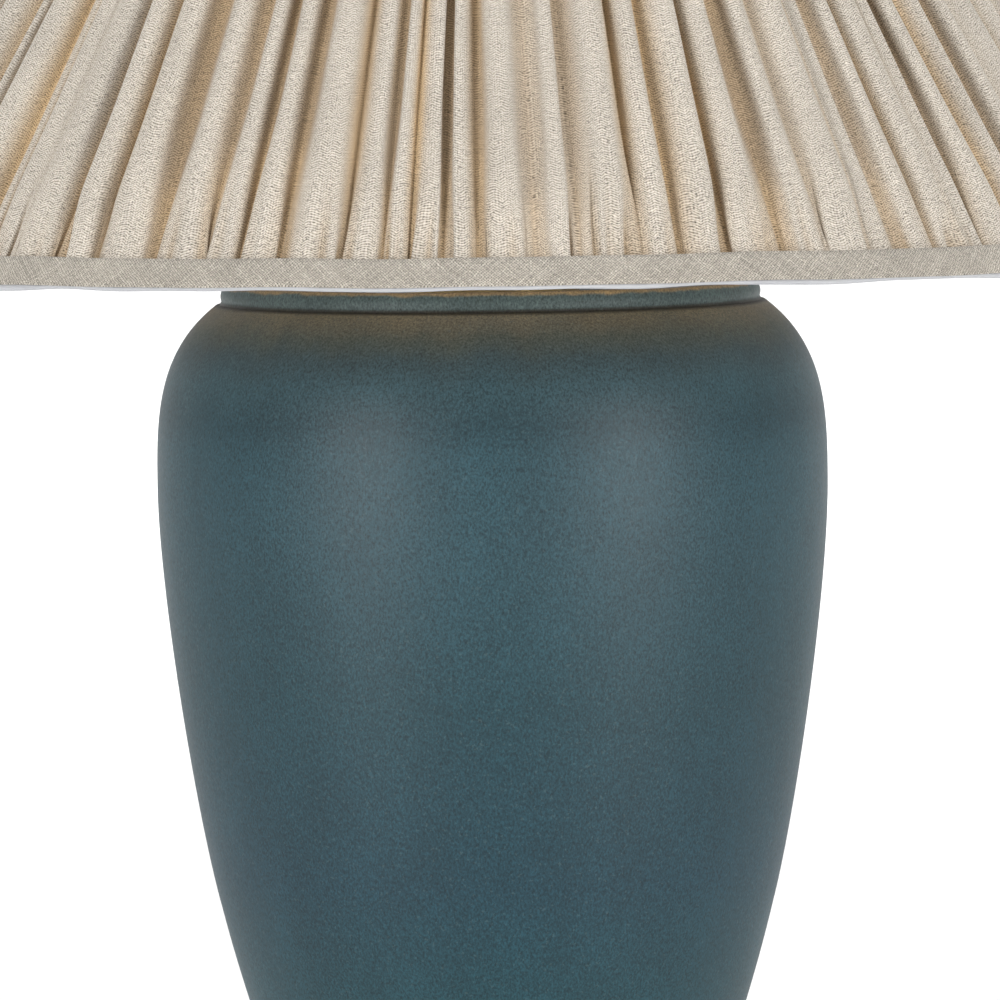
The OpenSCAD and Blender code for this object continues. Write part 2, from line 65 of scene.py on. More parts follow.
body_top = heights("ceramic_body")[1]
body_r = radius("ceramic_body")
felt_top = heights("felt_pad")[1]
ring_z = sum(heights("bottom_ring")) / 2
top_ring_z = sum(heights("top_ring")) / 2
wire_r = (heights("bottom_ring")[1] - heights("bottom_ring")[0]) / 2
ring_r = radius("bottom_ring") - wire_r
top_ring_r = radius("top_ring") - wire_r
tape_low, tape_high = heights("bottom_binding")
tape_r = radius("bottom_binding")
top_tape_low, top_tape_high = heights("top_binding")
top_tape_r = radius("top_binding")
lining_low, lining_high = heights("shade_lining")
cover_top = heights("shade_cover")[1]

slope = (ring_r - top_ring_r) / (top_ring_z - ring_z)   # radius lost per unit of height
lean = math.hypot(1, slope)                             # slant length per unit of height

TAPE_PROUD = 0.7 * MM   # how far a tape's face stands off the shade's outer line


def frame_line(z):
    """Radius of the shade frame's sloping wires at height z."""
    return ring_r - slope * (z - ring_z)


def tape_line(z):
    """Radius of the shade's outer line, over the tapes, at height z."""
    return tape_r - (tape_r - top_tape_r) * (z - tape_low) / (top_tape_low - tape_low)


def smooth(value, low, high):
    """0 below low, 1 above high, and an S-curve between."""
    t = np.clip((value - low) / (high - low), 0, 1)
    return t * t * (3 - 2 * t)


# ---------- meshes ----------

def piece(name, points, faces, uv=None, weights=None):
    """A smooth mesh object. uv is one pair for each point, and weights are named point values."""
    mesh = bpy.data.meshes.new(name)
    mesh.from_pydata(points.tolist(), [], faces.tolist())
    mesh.polygons.foreach_set("use_smooth", np.ones(len(faces), bool))
    if uv is not None:
        corners = np.zeros(len(mesh.loops), np.int32)
        mesh.loops.foreach_get("vertex_index", corners)
        mesh.uv_layers.new(name="threads").data.foreach_set("uv", uv[corners].astype(np.float32).ravel())
    for key, values in (weights or {}).items():
        mesh.attributes.new(key, "FLOAT", "POINT").data.foreach_set("value", values.astype(np.float32))
    mesh.update()
    thing = bpy.data.objects.new(name, mesh)
    bpy.context.scene.collection.objects.link(thing)
    return thing


def grid_faces(rows, columns, wrap_columns=False, wrap_rows=False):
    """Quads over a grid of points stored row by row."""
    r = np.arange(rows if wrap_rows else rows - 1)
    c = np.arange(columns if wrap_columns else columns - 1)
    r, c = np.meshgrid(r, c, indexing="ij")
    r2, c2 = (r + 1) % rows, (c + 1) % columns
    corners = [r * columns + c, r * columns + c2, r2 * columns + c2, r2 * columns + c]
    return np.stack(corners, -1).reshape(-1, 4)


def round_angles(count):
    """count equal steps round the axis."""
    return np.arange(count) * 2 * math.pi / count


def round_points(radii, angles, z):
    """Points at these radii, angles and heights, broadcast together."""
    radii, angles, z = np.broadcast_arrays(radii, angles, z)
    return np.stack([radii * np.cos(angles), radii * np.sin(angles), z], -1).reshape(-1, 3)


def waves(angles, rng, lowest, highest, count):
    """A smooth closed wave round the axis, mostly between -1 and 1, in whole numbers of turns."""
    total = np.zeros_like(angles)
    for turns in rng.integers(lowest, highest + 1, count):
        total = total + np.sin(turns * angles + rng.uniform(0, 2 * math.pi))
    return total / math.sqrt(count)


def curve(points, count):
    """Points along a cubic curve with four control points, without its last point."""
    first, second, third, last = np.array(points, float)
    t = (np.arange(count) / count)[:, None]
    back = 1 - t
    return back ** 3 * first + 3 * back ** 2 * t * second + 3 * back * t ** 2 * third + t ** 3 * last


def arc(centre, r, start, end, count):
    """Points on an arc, angles in degrees."""
    a = np.radians(np.linspace(start, end, count))
    return np.stack([centre[0] + r * np.cos(a), centre[1] + r * np.sin(a)], -1)


def run_along(path):
    """Distance along a path at each of its points."""
    return np.concatenate([[0], np.cumsum(np.linalg.norm(np.diff(path, axis=0), axis=1))])


def uv_pairs(u, v):
    """One UV pair for each point of a grid."""
    return np.stack(np.broadcast_arrays(u, v), -1).reshape(-1, 2)


# ---------- materials ----------

class Shader:
    """A material under construction: its node tree, with short ways to add to it."""

    def __init__(self, name):
        self.material = bpy.data.materials.new(name)
        self.material.use_nodes = True
        self.tree = self.material.node_tree
        self.tree.nodes.clear()

    def put(self, socket, value):
        if isinstance(value, bpy.types.NodeSocket):
            self.tree.links.new(value, socket)
        else:
            socket.default_value = value

    def add(self, kind, inputs=None, **settings):
        node = self.tree.nodes.new("ShaderNode" + kind)
        for key, value in settings.items():
            setattr(node, key, value)
        for key, value in (inputs or {}).items():
            self.put(node.inputs[key], value)
        return node

    def math(self, operation, *values):
        return self.add("Math", dict(enumerate(values)), operation=operation).outputs[0]

    def place(self):
        """Position in the lamp's own space, in metres."""
        return self.add("TexCoord").outputs["Object"]

    def parts(self, vector):
        node = self.add("SeparateXYZ", {0: vector})
        return node.outputs[0], node.outputs[1], node.outputs[2]

    def join(self, x=0.0, y=0.0, z=0.0):
        return self.add("CombineXYZ", {0: x, 1: y, 2: z}).outputs[0]

    def stretch(self, vector, scale, turn=(0, 0, 0)):
        return self.add("Mapping", {"Vector": vector, "Scale": scale, "Rotation": turn}).outputs[0]

    def noise(self, vector, scale=1.0, detail=2.0, roughness=0.5):
        node = self.add("TexNoise", {"Vector": vector, "Scale": scale, "Detail": detail,
                                     "Roughness": roughness})
        return node.outputs["Fac"]

    def span(self, value, low, high, to_low=0.0, to_high=1.0, kind="SMOOTHSTEP"):
        """value from low..high to to_low..to_high, held at the ends."""
        node = self.add("MapRange", {0: value, 1: low, 2: high, 3: to_low, 4: to_high},
                        interpolation_type=kind)
        return node.outputs[0]

    def mix(self, factor, a, b, blend="MIX"):
        node = self.add("Mix", data_type="RGBA", blend_type=blend)
        self.put(node.inputs[0], factor)
        for socket, value in ((node.inputs[6], a), (node.inputs[7], b)):
            self.put(socket, value if isinstance(value, bpy.types.NodeSocket) else (*value, 1))
        return node.outputs[2]

    def shade(self, colour, factor):
        """colour times a grey factor."""
        return self.mix(1.0, colour, self.join(factor, factor, factor), "MULTIPLY")

    def vary(self, colour, noise, amount, low=0.25, high=0.75):
        """colour made darker and lighter by up to amount, as noise goes from low to high."""
        return self.shade(colour, self.span(noise, low, high, 1 - amount, 1 + amount, "LINEAR"))

    def ramp(self, value, stops):
        node = self.add("ValToRGB", {0: value})
        ramp = node.color_ramp
        while len(ramp.elements) > 1:
            ramp.elements.remove(ramp.elements[-1])
        for i, (place, colour) in enumerate(stops):
            stop = ramp.elements[0] if i == 0 else ramp.elements.new(place)
            stop.position = place
            stop.color = (*colour, 1)
        return node.outputs[0]

    def bump(self, height, distance, strength=1.0, under=None):
        inputs = {"Height": height, "Distance": distance, "Strength": strength}
        if under is not None:
            inputs["Normal"] = under
        return self.add("Bump", inputs).outputs[0]

    def finish(self, **inputs):
        """Ends in a Principled shader with these inputs. Underscores stand for spaces."""
        principled = self.add("BsdfPrincipled")
        for key, value in inputs.items():
            socket = principled.inputs[key.replace("_", " ")]
            if not isinstance(value, bpy.types.NodeSocket) and socket.type == "RGBA":
                value = (*value, 1)
            self.put(socket, value)
        output = self.add("OutputMaterial")
        self.tree.links.new(principled.outputs[0], output.inputs[0])
        return self.material


def painted_fold_shade(s, colour, deep, broad):
    """Paints shade into the bottom of the folds, warmed where light has bounced from thread to thread:
    painted shade and painted bounce light.
    deep is for a pinched valley and broad, a darker painted shade, for a wide one, which more light
    reaches."""
    fold = s.add("Attribute", attribute_name="fold").outputs["Fac"]
    opened = s.add("Attribute", attribute_name="opened").outputs["Fac"]
    return s.mix(fold, colour, s.mix(1.0, colour, s.mix(opened, deep, broad), "MULTIPLY"))


def herringbone(s, uv, slub):
    """Height of a broken herringbone weave on UVs in metres, with slub for its uneven threads."""
    rib_pitch, slant_pitch, column_pitch = 0.95 * MM, 1.45 * MM, 0.80 * MM
    zigzag_width, bend_reach = 1.9 * MM, 5.0 * MM
    across, along, _ = s.parts(uv)
    bend = s.noise(s.stretch(uv, (1, 0.25, 1)), 220, 1)
    zigzag = s.math("PINGPONG", s.math("MULTIPLY_ADD", bend, bend_reach, across), zigzag_width)
    rib = s.math("MULTIPLY_ADD", along, 1 / rib_pitch, s.math("MULTIPLY", zigzag, 1 / slant_pitch))
    rib = s.math("MULTIPLY_ADD", s.noise(uv, 380, 1), 0.8, rib)
    line = s.math("MULTIPLY_ADD", s.math("COSINE", s.math("MULTIPLY", rib, 2 * math.pi)), 0.5, 0.5)
    column = s.math("ABSOLUTE", s.math("SINE", s.math("MULTIPLY", across, math.pi / column_pitch)))
    height = s.math("MULTIPLY_ADD", line, 0.50, s.math("MULTIPLY", column, 0.20))
    return s.math("MULTIPLY_ADD", slub, 0.38, height)


def linen_cloth(name, light, hollow, deep, broad):
    """Herringbone linen on UVs in metres. light is the thread, hollow the painted shade in the line
    between threads, and deep and broad the painted shade at the bottom of a fold."""
    s = Shader(name)
    uv = s.add("UVMap", uv_map="threads").outputs[0]
    yarn = s.noise(s.stretch(uv, (1, 0.3, 1)), 1900, 1)
    weft = s.noise(s.stretch(uv, (0.12, 1, 1)), 1500, 1)
    slub = s.span(s.noise(uv, 1250, 1), 0.25, 0.75, 0.0, 1.0, "LINEAR")
    fleck = s.noise(s.stretch(uv, (1, 0.7, 1)), 1700, 0)
    height = herringbone(s, uv, slub)
    # Low points of the weave take the hollow colour and are darkened further: painted shade between the
    # threads.
    colour = s.mix(s.span(height, 0.22, 0.76, kind="LINEAR"), hollow, light)
    colour = s.shade(colour, s.span(height, 0.16, 0.38, 0.62, 1.0, "LINEAR"))
    colour = s.vary(colour, yarn, 0.18)
    colour = s.vary(colour, weft, 0.10)
    colour = s.vary(colour, s.noise(uv, 42, 3), 0.05, 0.3, 0.7)
    colour = s.shade(colour, s.span(fleck, 0.66, 0.75, 1.0, 0.42))
    normal = s.bump(s.noise(s.stretch(uv, (1, 0.35, 1)), 120, 2), 0.9 * MM, 0.35)
    normal = s.bump(s.math("MULTIPLY_ADD", yarn, 0.8, height), 0.25 * MM, 0.55, normal)
    return s.finish(Base_Color=painted_fold_shade(s, colour, deep, broad), Roughness=0.92, Normal=normal,
                    Sheen_Weight=0.12, Sheen_Roughness=0.4, Specular_IOR_Level=0.12)


def bias_tape(name, light, hollow, pitch):
    """Plain-weave linen cut on the bias, on UVs in metres."""
    s = Shader(name)
    uv = s.add("UVMap", uv_map="threads").outputs[0]
    waver = s.noise(uv, 260, 2)
    across, along, _ = s.parts(s.stretch(uv, (1, 1, 1), (0, 0, math.radians(45))))
    x = s.math("MULTIPLY_ADD", across, 1 / pitch, s.math("MULTIPLY", waver, 2.0))
    y = s.math("MULTIPLY_ADD", along, 1 / pitch, s.math("MULTIPLY", waver, -1.7))
    wave_x = s.math("SINE", s.math("MULTIPLY", x, math.pi))
    wave_y = s.math("SINE", s.math("MULTIPLY", y, math.pi))
    # Each thread is round, and rises over one crossing thread and dips under the next
    rise_x = s.math("MULTIPLY", wave_y, s.math("SIGN", wave_x))
    rise_y = s.math("MULTIPLY", wave_x, s.math("SIGN", wave_y))
    warp = s.math("MULTIPLY_ADD", s.math("ABSOLUTE", wave_x), 0.75, s.math("MULTIPLY", rise_x, 0.25))
    weft = s.math("MULTIPLY_ADD", s.math("ABSOLUTE", wave_y), 0.75, s.math("MULTIPLY", rise_y, -0.25))
    height = s.math("MAXIMUM", warp, weft)
    over = s.math("GREATER_THAN", warp, weft)
    # Each thread keeps its tone along its length. The two sets read the noise at different depths.
    along_thread, weft_depth = 0.05, 7.0
    warp_tone = s.noise(s.join(x, s.math("MULTIPLY", y, along_thread)), 0.9, 1)
    weft_tone = s.noise(s.join(s.math("MULTIPLY", x, along_thread), y, weft_depth), 0.9, 1)
    tone = s.math("ADD", s.math("MULTIPLY", warp_tone, over),
                  s.math("MULTIPLY", weft_tone, s.math("SUBTRACT", 1.0, over)))
    # Low points of the weave take the hollow colour: painted shade between the threads.
    colour = s.mix(s.span(height, 0.15, 0.90), hollow, light)
    colour = s.vary(colour, tone, 0.28)
    colour = s.vary(colour, s.noise(uv, 1300, 1), 0.30)
    colour = s.vary(colour, s.noise(uv, 60, 3), 0.05, 0.3, 0.7)
    normal = s.bump(s.math("MULTIPLY_ADD", tone, 0.5, height), 0.30 * MM, 0.6)
    return s.finish(Base_Color=colour, Roughness=0.92, Normal=normal, Sheen_Weight=0.12,
                    Sheen_Roughness=0.4, Specular_IOR_Level=0.12)


def smooth_lining():
    """Fine white lining cloth, greyer on the hem that rolls out under the ring: painted shade."""
    s = Shader("white_lining")
    place = s.place()
    tone = s.noise(place, 30, 3)
    grain = s.noise(place, 2600, 1)
    colour = s.mix(s.span(tone, 0.3, 0.7), (0.70, 0.70, 0.71), (0.76, 0.76, 0.76))
    _, _, z = s.parts(place)
    # Painted shade: the hem below the ring is the same cloth, darkened and cooled.
    hem = s.span(z, ring_z - 1 * MM, ring_z + 4 * MM)
    colour = s.mix(hem, s.mix(1.0, colour, (0.50, 0.505, 0.52), "MULTIPLY"), colour)
    normal = s.bump(grain, 0.08 * MM, 0.5, s.bump(s.noise(place, 120, 2), 0.4 * MM, 0.5))
    return s.finish(Base_Color=colour, Roughness=0.75, Normal=normal, Sheen_Weight=0.1,
                    Specular_IOR_Level=0.25)


def glaze_bands(s, level):
    """The glaze's colour by height. level is 0 at the foot and 1 at the top."""
    def below_top(distance):
        return (body_top - distance) / body_top

    bare_clay, thin_edge = (0.10, 0.060, 0.028), (0.055, 0.050, 0.035)
    teal_foot = (0.0078, 0.0388, 0.0495)
    teal_low = (0.0066, 0.0325, 0.0462)
    teal_mid = (0.0077, 0.0338, 0.0442)
    teal_belly = (0.0140, 0.0425, 0.0540)
    return s.ramp(level, (
        (0.0, bare_clay),
        (0.03, thin_edge),
        (0.05, teal_foot),
        (0.30, teal_foot),
        (0.42, teal_low),
        (0.60, teal_mid),
        # Near the top the glaze thins to olive and brown over the shoulder. The stops from 31 to 15 mm
        # below the top are also lightened as painted light against the shade's shadow, and the pale
        # stops at 75 and 54 mm are a painted highlight on the upper belly.
        (below_top(75 * MM), teal_belly),
        (below_top(54 * MM), (0.0148, 0.0445, 0.0562)),
        (below_top(44 * MM), (0.0130, 0.0375, 0.0470)),
        (below_top(31 * MM), (0.0245, 0.0550, 0.0645)),
        (below_top(22 * MM), (0.0310, 0.0505, 0.0535)),
        (below_top(15 * MM), (0.058, 0.063, 0.047)),
        (below_top(7.5 * MM), (0.124, 0.098, 0.056)),
    ))


def collar_glaze(s, place, z, colour):
    """Adds the collar's paler glaze, the dark line under it and the brown edge of its lip."""
    collar = s.mix(s.noise(place, 140, 2), (0.046, 0.068, 0.066), (0.066, 0.090, 0.083))
    colour = s.mix(s.span(z, body_top - 6.9 * MM, body_top - 5.6 * MM), colour, collar)
    from_line = s.math("ABSOLUTE", s.math("SUBTRACT", z, body_top - 6.6 * MM))
    colour = s.shade(colour, s.span(from_line, 0.2 * MM, 1.1 * MM, 0.25, 1.0))
    uneven = s.math("SUBTRACT", s.noise(place, 110, 3), 0.5)
    lip = s.math("MULTIPLY_ADD", uneven, 2.2 * MM, z)
    brown = (0.23, 0.152, 0.070)
    return s.mix(s.span(lip, body_top - 1.7 * MM, body_top - 0.5 * MM), colour, brown)


def glaze():
    """Satin reactive glaze: teal over a brown body that breaks through at the edges."""
    s = Shader("reactive_glaze")
    place = s.place()
    z = s.parts(place)[2]
    runs = s.noise(s.stretch(place, (1, 1, 0.16)), 60, 4, 0.6)
    run_length = 9 * MM
    shifted = s.math("MULTIPLY_ADD", s.math("SUBTRACT", runs, 0.5), run_length, z)
    colour = glaze_bands(s, s.math("DIVIDE", shifted, body_top))
    colour = collar_glaze(s, place, z, colour)
    speck = s.noise(s.stretch(place, (1, 1, 0.62)), 1600, 2, 0.65)
    cloud = s.noise(s.stretch(place, (1, 1, 0.5)), 55, 3)
    colour = s.vary(colour, speck, 0.68)
    colour = s.vary(colour, cloud, 0.09, 0.3, 0.7)
    pale = s.span(s.noise(place, 900, 1), 0.62, 0.76, 0.0, 0.22)
    colour = s.mix(pale, colour, (0.09, 0.13, 0.13))
    roughness = s.span(s.noise(place, 700, 2), 0.25, 0.75, 0.46, 0.55, "LINEAR")
    throwing_rings = s.noise(s.join(0.0, 0.0, z), 230, 2)
    normal = s.bump(throwing_rings, 0.25 * MM, 0.20)
    normal = s.bump(cloud, 0.6 * MM, 0.25, normal)
    normal = s.bump(speck, 0.07 * MM, 0.55, normal)
    return s.finish(Base_Color=colour, Roughness=roughness, Normal=normal, Specular_IOR_Level=0.35)


def metal(name, colour, tarnish, roughness):
    """Metal with fine level lines and with tarnish in patches."""
    s = Shader(name)
    place = s.place()
    patch = s.noise(place, 90, 4, 0.6)
    brush = s.noise(s.stretch(place, (1, 1, 12)), 900, 2)
    base = s.mix(s.span(patch, 0.42, 0.72, 0.0, 0.7), colour, tarnish)
    base = s.vary(base, brush, 0.05, 0.3, 0.7)
    rough = s.math("ADD", s.span(patch, 0.3, 0.7, roughness - 0.05, roughness + 0.10, "LINEAR"),
                   s.span(brush, 0.3, 0.7, -0.04, 0.04, "LINEAR"))
    return s.finish(Base_Color=base, Roughness=rough, Metallic=1.0,
                    Normal=s.bump(brush, 0.03 * MM, 0.5))


def painted_wire():
    """White enamel on the shade's wires."""
    s = Shader("white_enamel")
    place = s.place()
    chip = s.noise(place, 160, 3)
    colour = s.mix(s.span(chip, 0.70, 0.74), (0.78, 0.78, 0.76), (0.45, 0.40, 0.34))
    return s.finish(Base_Color=colour, Roughness=s.span(chip, 0.3, 0.7, 0.32, 0.45, "LINEAR"),
                    Normal=s.bump(s.noise(place, 500, 2), 0.05 * MM, 0.4))


def moulded(name, colour, roughness, grain=900.0):
    """Moulded plastic or rubber with a fine grain and handling marks."""
    s = Shader(name)
    place = s.place()
    mark = s.noise(place, 120, 3)
    base = s.mix(s.span(mark, 0.35, 0.75), colour, tuple(min(1.0, c * 1.5 + 0.01) for c in colour))
    rough = s.span(mark, 0.3, 0.7, roughness - 0.06, roughness + 0.08, "LINEAR")
    return s.finish(Base_Color=base, Roughness=rough,
                    Normal=s.bump(s.noise(place, grain, 2), 0.05 * MM, 0.35))


def fibre_paper():
    """Waxed insulating paper."""
    s = Shader("fibre_paper")
    place = s.place()
    strand = s.noise(s.stretch(place, (1, 1, 6)), 700, 3)
    colour = s.mix(s.span(strand, 0.3, 0.7), (0.40, 0.28, 0.15), (0.58, 0.44, 0.27))
    return s.finish(Base_Color=colour, Roughness=0.7, Normal=s.bump(strand, 0.05 * MM, 0.5))


def felt():
    """Pressed wool felt."""
    s = Shader("green_felt")
    place = s.place()
    tuft = s.noise(place, 700, 4, 0.7)
    colour = s.mix(s.span(tuft, 0.3, 0.7), (0.020, 0.035, 0.028), (0.060, 0.085, 0.068))
    return s.finish(Base_Color=colour, Roughness=0.95, Sheen_Weight=0.3, Sheen_Roughness=0.5,
                    Normal=s.bump(tuft, 0.4 * MM, 0.7))


def clear_glass():
    """Thin clear glass with a trace of waviness."""
    s = Shader("clear_glass")
    ripple = s.noise(s.place(), 40, 1)
    return s.finish(Base_Color=(0.97, 0.98, 0.98), Roughness=0.02, IOR=1.45, Transmission_Weight=1.0,
                    Normal=s.bump(ripple, 0.1 * MM, 0.2))


def filament_coat():
    """Yellow phosphor on a filament strip."""
    s = Shader("phosphor")
    grain = s.noise(s.place(), 1500, 2)
    colour = s.mix(s.span(grain, 0.3, 0.7), (0.70, 0.42, 0.06), (0.86, 0.58, 0.12))
    return s.finish(Base_Color=colour, Roughness=0.6, Normal=s.bump(grain, 0.05 * MM, 0.5))


def stage_floor():
    """Plain pale floor."""
    s = Shader("pale_floor")
    tone = s.noise(s.place(), 1.5, 2)
    colour = s.mix(tone, (0.92, 0.92, 0.92), (0.95, 0.95, 0.95))
    return s.finish(Base_Color=colour, Roughness=0.9, Specular_IOR_Level=0.1)


# deep and broad are painted shade and warm painted bounce light for the folds' valleys, and hollow is
# painted shade between the threads.
linen_cover = linen_cloth("gathered_linen", light=(0.548, 0.502, 0.440), hollow=(0.225, 0.196, 0.152),
                          deep=(1.10, 0.87, 0.58), broad=(0.66, 0.53, 0.385))
linen_tape = bias_tape("bias_linen", light=(0.380, 0.350, 0.302), hollow=(0.100, 0.089, 0.072),
                       pitch=0.74 * MM)
lining_cloth = smooth_lining()
brass = metal("aged_brass", (0.60, 0.43, 0.20), (0.36, 0.24, 0.11), 0.30)
bright_brass = metal("bright_brass", (0.72, 0.53, 0.25), (0.55, 0.38, 0.17), 0.24)
steel = metal("zinc_steel", (0.56, 0.56, 0.57), (0.40, 0.39, 0.37), 0.36)
nickel = metal("nickel", (0.70, 0.70, 0.69), (0.58, 0.57, 0.55), 0.26)
enamel = painted_wire()
rubber = moulded("black_rubber", (0.018, 0.018, 0.018), 0.72)
phenolic = moulded("dark_phenolic", (0.026, 0.014, 0.009), 0.28, 500)

finishes = {
    linen_cover: ["shade_cover"],
    linen_tape: ["bottom_binding", "top_binding"],
    lining_cloth: ["shade_lining"],
    glaze(): ["ceramic_body"],
    felt(): ["felt_pad"],
    brass: ["pipe_nut", "vase_cap", "neck_spacer", "stack_nut", "harp_saddle", "socket_cap",
            "socket_shell", "harp_bow", "harp_stud", "harp_ferrule_left", "harp_ferrule_right",
            "spider_plate", "spider_arms", "finial"],
    bright_brass: ["terminal_screws", "screw_shell", "centre_contact", "switch_shaft"],
    steel: ["clamp_plate", "lock_washer", "lamp_pipe", "cap_set_screw"],
    nickel: ["bulb_cap", "bulb_contact"],
    enamel: ["top_ring", "bottom_ring", "shade_struts"],
    rubber: ["cord_grommet", "deck_bush", "seat_washer"],
    phenolic: ["socket_interior", "switch_knob", "bulb_insulator"],
    fibre_paper(): ["socket_liner"],
    clear_glass(): ["bulb_glass", "bulb_stem"],
    filament_coat(): ["led_filaments"],
}
finish_of = {node: material for material, nodes in finishes.items() for node in nodes}

for node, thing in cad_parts.items():
    thing.data.materials.clear()
    thing.data.materials.append(finish_of[node])


def stand_for(thing, node, body):
    """thing takes the place and the finish of a CAD node, and rides on its body."""
    thing.data.materials.append(finish_of[node])
    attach(thing, body)
    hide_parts(node)


# ---------- ceramic body ----------

def vase_outline(deck_z):
    """Half-section of the vase from the hole in its top, over the collar and down to the hole in
    its floor, as radius and height pairs."""
    top, foot = body_top, felt_top
    hole_r, floor_z = 7 * MM, foot + 8 * MM
    belly, collar_r, neck_r = body_r, body_r - 22.8 * MM, 96.3 * MM
    collar_z, neck_z = top - 6.5 * MM, top - 216 * MM
    waist_r, foot_r = 69 * MM, 73 * MM
    return np.concatenate([
        [[hole_r, deck_z - 6 * MM], [hole_r, deck_z - 0.6 * MM], [hole_r + 0.6 * MM, deck_z]],
        np.stack([np.linspace(12 * MM, collar_r - 8 * MM, 8), np.full(8, deck_z)], -1),
        arc((collar_r - 6.4 * MM, deck_z + 1.8 * MM), 1.8 * MM, -80, -5, 5),
        arc((collar_r - 2.3 * MM, top - 1.7 * MM), 1.7 * MM, 175, 10, 12),
        arc((collar_r - 4.6 * MM, collar_z + 2.6 * MM), 4.6 * MM, 22, -22, 7),
        arc((collar_r + 0.9 * MM, collar_z + 0.25 * MM), 0.95 * MM, 165, 275, 6),
        curve([[collar_r + 1.6 * MM, collar_z - 0.4 * MM], [belly + 0.1 * MM, top - 23 * MM],
               [belly, top - 47 * MM], [belly, top - 69 * MM]], 40),
        curve([[belly, top - 69 * MM], [belly, top - 107 * MM], [104 * MM, top - 187 * MM],
               [neck_r, neck_z]], 40),
        curve([[neck_r, neck_z], [83.6 * MM, top - 268 * MM], [waist_r, 51 * MM],
               [waist_r, 30 * MM]], 30),
        curve([[waist_r, 30 * MM], [waist_r, 22 * MM], [waist_r, foot + 13 * MM],
               [waist_r + 1.2 * MM, foot + 10.4 * MM]], 10),
        arc((foot_r - 2.2 * MM, foot + 7.6 * MM), 2.2 * MM, 105, 0, 8),
        arc((foot_r - 2.4 * MM, foot + 2.5 * MM), 2.5 * MM, 2, -88, 8),
        [[foot_r - 11 * MM, foot], [foot_r - 12.6 * MM, foot + 1.6 * MM], [foot_r - 13 * MM, floor_z],
         [hole_r, floor_z], [hole_r, foot + 14 * MM]],
    ])


def thrown_body():
    """The glazed vase, turned from its outline, with the small unevenness of a thrown pot."""
    deck_z = body_top - 3 * MM
    outline = vase_outline(deck_z)
    around = 256
    rng = np.random.default_rng(SEED)
    angles = round_angles(around)
    r, z = outline[:, 0:1], outline[:, 1:2]
    uneven = 0.16 * MM * waves(angles, rng, 2, 5, 3)[None, :] * smooth(r, 30 * MM, 90 * MM)
    lip = 0.12 * MM * waves(angles, rng, 3, 14, 4)[None, :] * smooth(z, deck_z, body_top)
    points = round_points(r + uneven, angles[None, :], z + lip)
    thing = piece("vase", points, grid_faces(len(outline), around, wrap_columns=True)[:, ::-1])
    stand_for(thing, "ceramic_body", "base")


thrown_body()


# ---------- gathered cover ----------

ROLLS = 100        # rolls of cloth round the shade
ROWS = 38          # rows of points up the shade
SIDE = 13          # points across one side of a roll, its crest included
STEEPEST = 1.48    # steepest slope of a roll's side, in radians
GATHERING = 1.42   # length of a roll's cloth over its pitch at the bottom


def next_edge(values):
    """Each roll's value at its right-hand valley, from the values at the left-hand ones."""
    return np.roll(values, -1, axis=-1)


def fold_table():
    """How much of its cloth's length a fold keeps as width and as height, for each steepness.
    A fold's cloth leans by steepness x cos along its way from the valley up to the crest."""
    steepness = np.linspace(0.02, 2.3, 120)
    way = (np.arange(200) + 0.5) / 200
    leaning = steepness[:, None] * np.cos(math.pi / 2 * way)
    return steepness, np.cos(leaning).mean(1), np.sin(leaning).mean(1)


def flank(steepness, opening, ripple):
    """One side of a fold, from its valley (0, 0) to its crest (1, 1), as across and height.
    opening runs from 0, a pinched valley, to 1, a round one. ripple adds smaller folds."""
    way = (np.arange(SIDE - 1) + 0.5) / (SIDE - 1)
    pinched, rounded = np.cos(math.pi / 2 * way), np.sin(math.pi * way)
    leaning = steepness[..., None] * (pinched + (rounded - pinched) * opening[..., None]) + ripple
    start = np.zeros(leaning.shape[:-1] + (1,))
    across = np.concatenate([start, np.cumsum(np.cos(leaning), -1)], -1)
    height = np.concatenate([start, np.cumsum(np.sin(leaning), -1)], -1)
    return across / across[..., -1:], height / np.maximum(height[..., -1:], 0.15 * SIDE)


def fade_above_tape(z, reach, power):
    """1 at the bottom tape's upper edge, and dying out above it over each roll's reach."""
    return np.exp(-(np.maximum(z[:, None] - tape_high, 0) / reach) ** power)


def ripples(rng, z):
    """Leaning of the short tucks that run out of the tape, for one side of every fold."""
    way = (np.arange(SIDE - 1) + 0.5) / (SIDE - 1)
    most = 0.75
    total = np.zeros((ROWS, ROLLS, SIDE - 1))
    for waves_in_side in (1.0, 1.6):
        reach = rng.uniform(9, 34, ROLLS) * MM
        strength = rng.uniform(0.0, 1.0, ROLLS) ** 1.5 * most
        phase = rng.uniform(0, 2 * math.pi, ROLLS)
        wave = np.sin(2 * math.pi * waves_in_side * way + phase[:, None])
        total += (strength * fade_above_tape(z, reach, 1.3))[:, :, None] * wave
    return total


def tucks(rng, z, columns):
    """Share of its height that a fold keeps where short creases rise out of the bottom tape."""
    way = np.linspace(0, 1, columns)
    share = np.ones((ROWS, ROLLS, columns))
    for slot in (0.22, 0.50, 0.78):
        place = slot + rng.uniform(-0.10, 0.10, ROLLS)
        depth = rng.uniform(0.25, 0.70, ROLLS) * (rng.random(ROLLS) < 0.45)
        reach = rng.uniform(7, 26, ROLLS) * MM
        thin = rng.uniform(0.05, 0.10, ROLLS)
        notch = np.exp(-((way - place[:, None]) / thin[:, None]) ** 2)
        share -= (depth * fade_above_tape(z, reach, 1.6))[:, :, None] * notch
    return np.clip(share, 0.12, 1)


